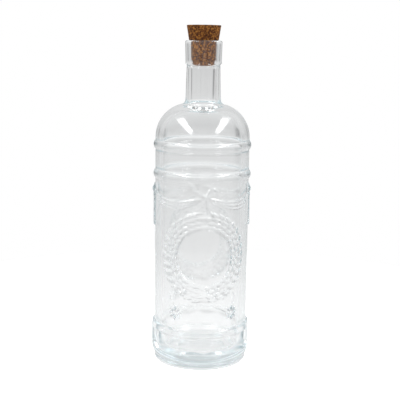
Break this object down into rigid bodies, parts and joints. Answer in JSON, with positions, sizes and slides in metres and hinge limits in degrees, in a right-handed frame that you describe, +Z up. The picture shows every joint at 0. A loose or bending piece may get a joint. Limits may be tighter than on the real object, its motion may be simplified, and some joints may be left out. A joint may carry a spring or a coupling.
{
  "type": "glass bottle",
  "caption": "Clear pressed-glass bottle with a domed shoulder, raised hoops, a laurel wreath in relief, a faceted base collar and a tapered cork stopper.",
  "frame": {"origin": "centre of the flat ring that the bottle stands on", "axes": "+Z up along the bottle's axis, -Y towards the front relief, +X to the right seen from the front"},
  "size_m": [0.0932, 0.0932, 0.3157],
  "materials": {
    "clear_glass": "clear pressed glass, fire-polished, faint blue-green tint where thick",
    "cork": "matt agglomerate cork, dark granules"
  },
  "bodies": {
    "root": {"glass_bottle": "clear_glass", "cork_stopper": "cork"}
  },
  "joints": []
}
